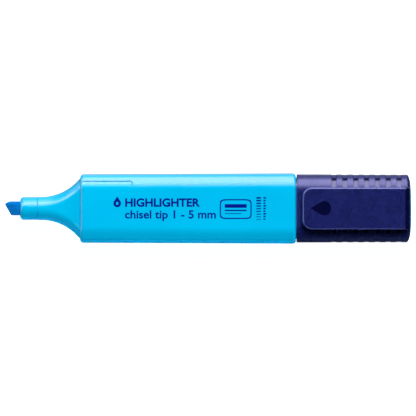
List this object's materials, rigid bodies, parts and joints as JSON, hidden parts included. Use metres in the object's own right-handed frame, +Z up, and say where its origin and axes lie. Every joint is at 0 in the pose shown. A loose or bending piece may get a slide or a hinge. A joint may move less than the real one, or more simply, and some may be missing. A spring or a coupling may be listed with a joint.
{
  "type": "highlighter pen",
  "caption": "Flat-bodied chisel-tip highlighter lying on its broad face, with its ribbed cap posted on the tail and a sprung pocket clip.",
  "frame": {"origin": "on the broad back face the pen rests on, under the middle of its length", "axes": "+X along the pen from the nib to the cap's crown, +Z up out of the clip side, +Y across the pen towards the shoulder with the shallow recess"},
  "size_m": [0.1558, 0.027, 0.0193],
  "materials": {
    "nib_fibre": "bonded fibre, ink-wet",
    "nib_holder_plastic": "gloss moulded polypropylene",
    "front_section_plastic": "gloss moulded polypropylene",
    "barrel_plastic": "gloss moulded polypropylene with navy print",
    "reservoir_fibre": "ink-soaked polyester fibre",
    "clear_film": "clear film",
    "end_plug_plastic": "gloss moulded polypropylene",
    "cap_plastic": "satin moulded polypropylene with polished grooves",
    "clip_plastic": "fine spark texture with polished edges",
    "liner_plastic": "natural polyethylene",
    "insert_plastic": "gloss moulded polypropylene"
  },
  "bodies": {
    "pen": {"barrel": "barrel_plastic", "front_section": "front_section_plastic", "nib_holder": "nib_holder_plastic", "chisel_nib": "nib_fibre", "ink_reservoir": "reservoir_fibre", "reservoir_film": "clear_film", "end_plug": "end_plug_plastic"},
    "cap": {"cap_shell": "cap_plastic", "inner_cap": "liner_plastic", "cap_end_insert": "insert_plastic"},
    "clip": {"clip": "clip_plastic"}
  },
  "joints": [
    {"name": "cap_slide", "type": "slide", "parent": "pen", "child": "cap", "axis": [1, 0, 0], "range_m": [0, 0.03]},
    {"name": "clip_flex", "type": "hinge", "parent": "cap", "child": "clip", "pos_m": [0.0763, 0, 0.0163], "axis": [0, 1, 0], "range_deg": [0, 4], "stiffness_Nm_per_rad": 3.4}
  ]
}
